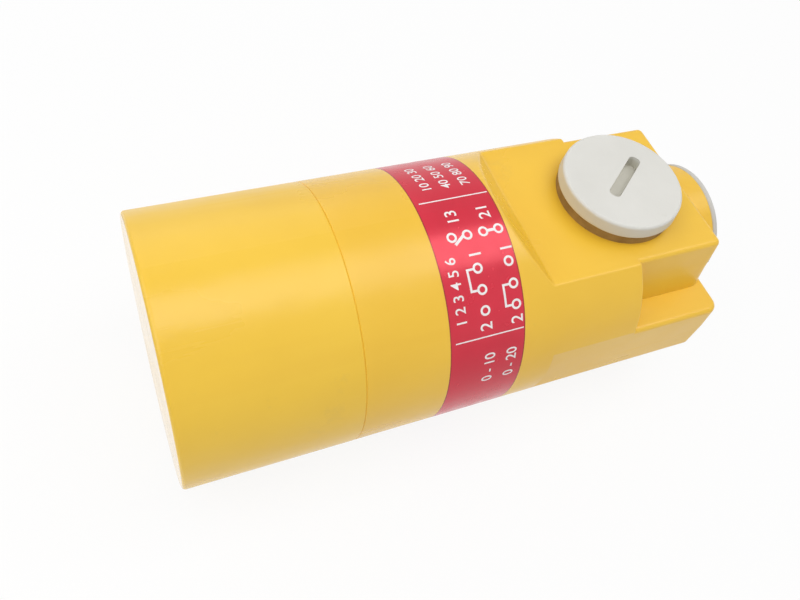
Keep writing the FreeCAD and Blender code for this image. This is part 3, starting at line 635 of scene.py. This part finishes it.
def make_label_print():
    """White marks: two dividers, two wiring schemes and plain numbers."""
    bm = bmesh.new()
    for degrees in DIVIDER_DEG:
        add_divider(bm, degrees)
    for scheme in SCHEMES:
        add_scheme(bm, **scheme)
    add_number(bm, "1 2 3 4 5 6", on_band(COUNT_DEG, COUNT_LINE), COUNT_H)
    for row, digits in enumerate(TENS):
        add_number(bm, digits, on_band(TENS_DEG, TENS_LINE + TENS_STEP * row), TENS_H, "LEFT")
    for line, digits in SPANS:
        add_number(bm, digits, on_band(SPAN_DEG, line), SPAN_H)
    wrap(bm)
    bmesh.ops.recalc_face_normals(bm, faces=bm.faces)
    mesh = bpy.data.meshes.new("label_print")
    bm.to_mesh(mesh)
    bm.free()
    mesh.materials.append(white_ink())
    obj = add_object("label_print", mesh)
    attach(obj, "housing")


# Floor, light and camera

def floor_finish():
    """White table that keeps a soft shadow; the eye sees it near to white, and plain white far off."""
    material = bpy.data.materials.new("floor")
    material.use_nodes = True
    net = Net(material.node_tree)
    net.nodes.clear()
    diffuse = net.nodes.new("ShaderNodeBsdfDiffuse")
    diffuse.inputs["Color"].default_value = FLOOR_COLOUR
    glow = net.nodes.new("ShaderNodeEmission")
    white = net.spread(net.length(net.coordinates()), *FLOOR_FADE, *FLOOR_WHITE)
    mix = net.nodes.new("ShaderNodeMixShader")
    net.link(net.calc("MULTIPLY", net.seen(), white), mix.inputs["Fac"])
    net.link(diffuse.outputs["BSDF"], mix.inputs[1])
    net.link(glow.outputs["Emission"], mix.inputs[2])
    out = net.nodes.new("ShaderNodeOutputMaterial")
    net.link(mix.outputs["Shader"], out.inputs["Surface"])
    return material


def make_floor():
    """A flat table under the barrel."""
    z = CAD_BOX[0].z
    corners = [(x * FLOOR_HALF, y * FLOOR_HALF, z) for x, y in ((-1, -1), (1, -1), (1, 1), (-1, 1))]
    mesh = bpy.data.meshes.new("floor")
    mesh.from_pydata(corners, [], [(0, 1, 2, 3)])
    mesh.materials.append(floor_finish())
    add_object("floor", mesh)


def make_world():
    """White room: seen as plain white, lighting weaker."""
    world = bpy.data.worlds.new("room")
    bpy.context.scene.world = world
    world.use_nodes = True
    net = Net(world.node_tree)
    room = net.nodes["Background"]
    room.inputs["Color"].default_value = ROOM_COLOUR
    net.link(net.spread(net.seen(), 0.0, 1.0, ROOM_LIGHT, ROOM_SEEN), room.inputs["Strength"])


def make_lamp(name, place, length, width, power):
    """A soft box whose long side lies along the barrel."""
    lamp = bpy.data.lights.new(name, "AREA")
    lamp.shape = "RECTANGLE"
    lamp.size, lamp.size_y = length, width
    lamp.energy = power
    obj = add_object(name, lamp)
    obj.location = place
    obj.rotation_mode = "QUATERNION"
    back = (Vector(place) - LAMP_AIM).normalized()
    across = back.cross(BARREL_AXIS).normalized()
    obj.rotation_quaternion = Matrix((across.cross(back), across, back)).transposed().to_quaternion()


def make_camera():
    """The photograph's eye: level towards its aim, then rolled."""
    data = bpy.data.cameras.new("camera")
    data.sensor_width = SENSOR_MM
    data.lens = LENS_MM
    data.shift_x, data.shift_y = SHIFT
    data.clip_start, data.clip_end = CLIP
    obj = add_object("camera", data)
    obj.location = EYE
    obj.rotation_mode = "QUATERNION"
    level = (LOOKS_AT - EYE).to_track_quat("-Z", "Y")
    obj.rotation_quaternion = level @ Quaternion((0, 0, 1), math.radians(ROLL_DEG))
    bpy.context.scene.camera = obj


def make_stage():
    """Everything around the part."""
    make_floor()
    make_world()
    for name, (place, length, width, power) in LAMPS.items():
        make_lamp(name, place, length, width, power)
    make_camera()
    bpy.context.scene.view_settings.view_transform = "Standard"


finish_nodes()
make_label_print()
make_stage()
